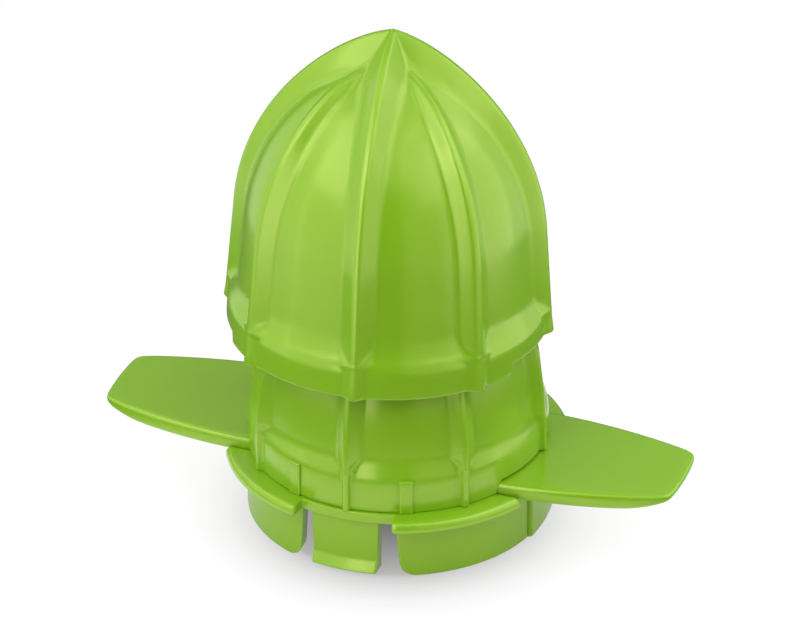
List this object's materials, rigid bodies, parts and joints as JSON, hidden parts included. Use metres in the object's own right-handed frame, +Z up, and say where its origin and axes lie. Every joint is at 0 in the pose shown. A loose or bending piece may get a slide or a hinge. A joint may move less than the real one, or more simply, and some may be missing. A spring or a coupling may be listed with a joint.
{
  "type": "citrus juicer reaming cone set",
  "caption": "Nested pair of ribbed citrus reaming cones on a flanged collar with side paddles and snap tongues.",
  "frame": {"origin": "middle of the collar's foot, on the surface where the set stands", "axes": "+Z up through the cones, X along the two paddles, -Y towards the front snap tongue"},
  "size_m": [0.1224, 0.0681, 0.1066],
  "materials": {
    "collar_plastic": "glossy injection moulded lime green plastic",
    "paddle_plastic": "glossy lime green plastic with softly rounded edges",
    "small_cone_plastic": "glossy lime green plastic",
    "socket_plastic": "glossy deeper green plastic inside the cone",
    "large_cone_plastic": "glossy lime green plastic"
  },
  "bodies": {
    "base": {"collar": "collar_plastic", "left_paddle": "paddle_plastic", "right_paddle": "paddle_plastic"},
    "front_tongue": {"snap_tongue_front": "collar_plastic"},
    "rear_tongue": {"snap_tongue_rear": "collar_plastic"},
    "small_reamer": {"small_cone": "small_cone_plastic", "drive_socket": "socket_plastic"},
    "large_reamer": {"large_cone": "large_cone_plastic"}
  },
  "joints": [
    {"name": "front_tongue_flex", "type": "hinge", "parent": "base", "child": "front_tongue", "pos_m": [-0.00075, -0.0294, 0.0121], "axis": [1, 0, 0], "range_deg": [-3, 6], "stiffness_Nm_per_rad": 0.05},
    {"name": "rear_tongue_flex", "type": "hinge", "parent": "base", "child": "rear_tongue", "pos_m": [0.00075, 0.0294, 0.0121], "axis": [-1, 0, 0], "range_deg": [-3, 6], "stiffness_Nm_per_rad": 0.05},
    {"name": "small_cone_lift", "type": "slide", "parent": "base", "child": "small_reamer", "axis": [0, 0, 1], "range_m": [0, 0.045]},
    {"name": "large_cone_lift", "type": "slide", "parent": "small_reamer", "child": "large_reamer", "axis": [0, 0, 1], "range_m": [0, 0.06]}
  ]
}
